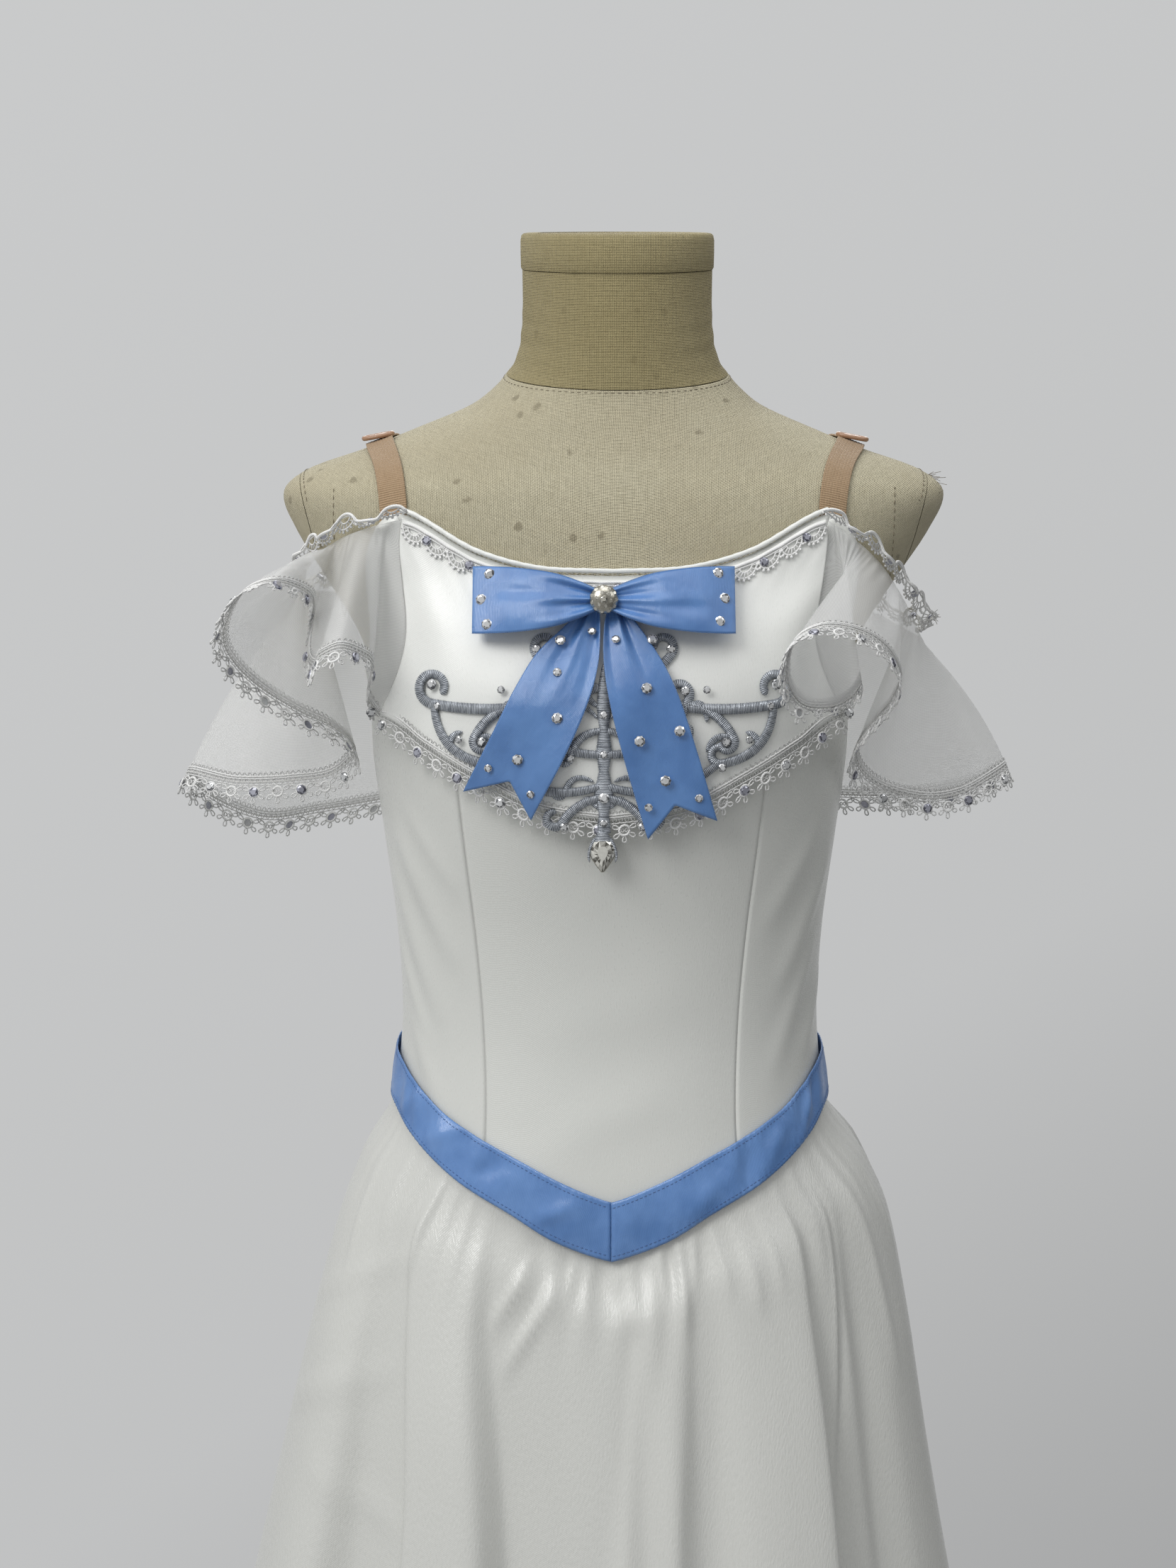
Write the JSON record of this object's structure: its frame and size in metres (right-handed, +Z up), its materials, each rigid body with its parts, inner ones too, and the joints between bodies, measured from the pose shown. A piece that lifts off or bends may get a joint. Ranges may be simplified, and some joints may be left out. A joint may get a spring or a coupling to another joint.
{
  "type": "lyrical dress on a limbless dress form",
  "caption": "Youth lyrical dance dress with satin bodice, bust flounce, open organza sleeves, ribbon bow and belt and a gathered skirt, on a limbless linen dress form",
  "frame": {"origin": "centre of the stand's base on the surface it stands on, under the middle of the dress form", "axes": "+Z up, +X to the right in the picture, the dress's front faces -Y"},
  "size_m": [0.4995, 0.4119, 1.3696],
  "materials": {
    "ivory_satin": "ivory satin with a soft sheen",
    "sheer_organza": "sheer white organza with a slight sheen",
    "white_lace": "matte white guipure lace",
    "blue_satin": "mid blue satin ribbon with a bright sheen",
    "silver_thread": "silver-grey metallic embroidery thread",
    "clear_crystal": "clear faceted foil-backed crystal",
    "tan_elastic": "tan ribbed elastic",
    "tan_plastic": "tan moulded plastic",
    "form_linen": "worn beige linen",
    "stand_steel": "brushed steel"
  },
  "bodies": {
    "root": {"form_torso": "form_linen", "form_arm_cap_right": "form_linen", "form_arm_cap_left": "form_linen", "form_neck": "form_linen", "form_neck_cap": "form_linen", "stand_flange": "stand_steel", "stand_pole": "stand_steel", "stand_base": "stand_steel", "bodice_front_center": "ivory_satin", "bodice_front_side_right": "ivory_satin", "bodice_front_side_left": "ivory_satin", "bodice_back_side_right": "ivory_satin", "bodice_back_side_left": "ivory_satin", "bodice_back_right": "ivory_satin", "bodice_back_left": "ivory_satin", "belt_front_right": "blue_satin", "belt_front_left": "blue_satin", "belt_back": "blue_satin", "skirt_front": "ivory_satin", "skirt_back": "ivory_satin", "bertha_front": "ivory_satin", "bertha_back": "ivory_satin", "neckline_binding_front": "ivory_satin", "neckline_binding_back": "ivory_satin", "sleeve_left": "sheer_organza", "sleeve_right": "sheer_organza", "lace_hem_left": "white_lace", "lace_top_left": "white_lace", "lace_hem_right": "white_lace", "lace_top_right": "white_lace", "lace_hem_front": "white_lace", "lace_top_front": "white_lace", "lace_hem_back": "white_lace", "lace_top_back": "white_lace", "strap_front_left": "tan_elastic", "strap_back_left": "tan_elastic", "slider_left": "tan_plastic", "strap_front_right": "tan_elastic", "strap_back_right": "tan_elastic", "slider_right": "tan_plastic", "bow_loop_left": "blue_satin", "bow_loop_right": "blue_satin", "bow_tail_left": "blue_satin", "bow_tail_right": "blue_satin", "bow_brooch": "clear_crystal", "applique": "silver_thread", "crystal_drop": "clear_crystal"}
  },
  "joints": []
}
